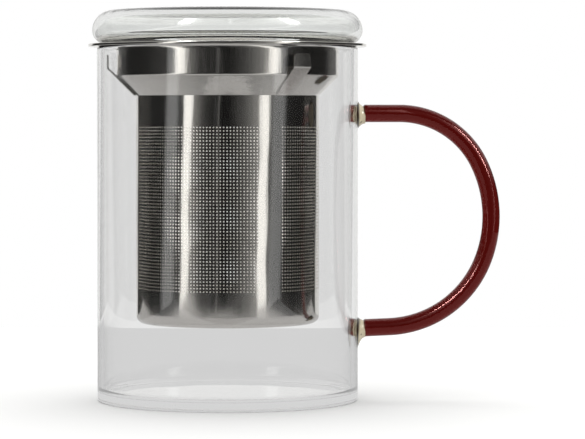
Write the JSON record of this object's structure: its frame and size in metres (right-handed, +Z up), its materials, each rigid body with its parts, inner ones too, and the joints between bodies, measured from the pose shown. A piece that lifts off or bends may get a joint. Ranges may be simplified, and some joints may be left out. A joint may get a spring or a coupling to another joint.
{
  "type": "lidded tea mug with infuser",
  "caption": "Clear glass mug with a red glass rod handle, a perforated steel basket infuser hung from its rim and a loose hollow glass lid.",
  "frame": {"origin": "centre of the mug's flat base, on the surface it stands on", "axes": "+Z up along the mug's axis, +X out through the middle of the handle, -Y towards the picture's camera"},
  "size_m": [0.1262, 0.0852, 0.1195],
  "materials": {
    "clear_glass": "clear, polished",
    "red_glass": "deep red, polished",
    "amber_glass": "pale amber, polished",
    "polished_steel": "polished stainless"
  },
  "bodies": {
    "mug": {"mug_body": "clear_glass", "handle_rod": "red_glass", "upper_handle_weld": "amber_glass", "lower_handle_weld": "amber_glass"},
    "infuser": {"infuser_collar": "polished_steel", "infuser_sleeve": "polished_steel", "infuser_bottom": "polished_steel", "centring_tab_front": "polished_steel", "centring_tab_left": "polished_steel", "centring_tab_rear": "polished_steel"},
    "lid": {"glass_lid": "clear_glass"}
  },
  "joints": [
    {"name": "infuser_lift", "type": "slide", "parent": "mug", "child": "infuser", "axis": [0, 0, 1], "range_m": [0, 0.095]},
    {"name": "lid_lift", "type": "slide", "parent": "infuser", "child": "lid", "axis": [0, 0, 1], "range_m": [0, 0.04]}
  ]
}
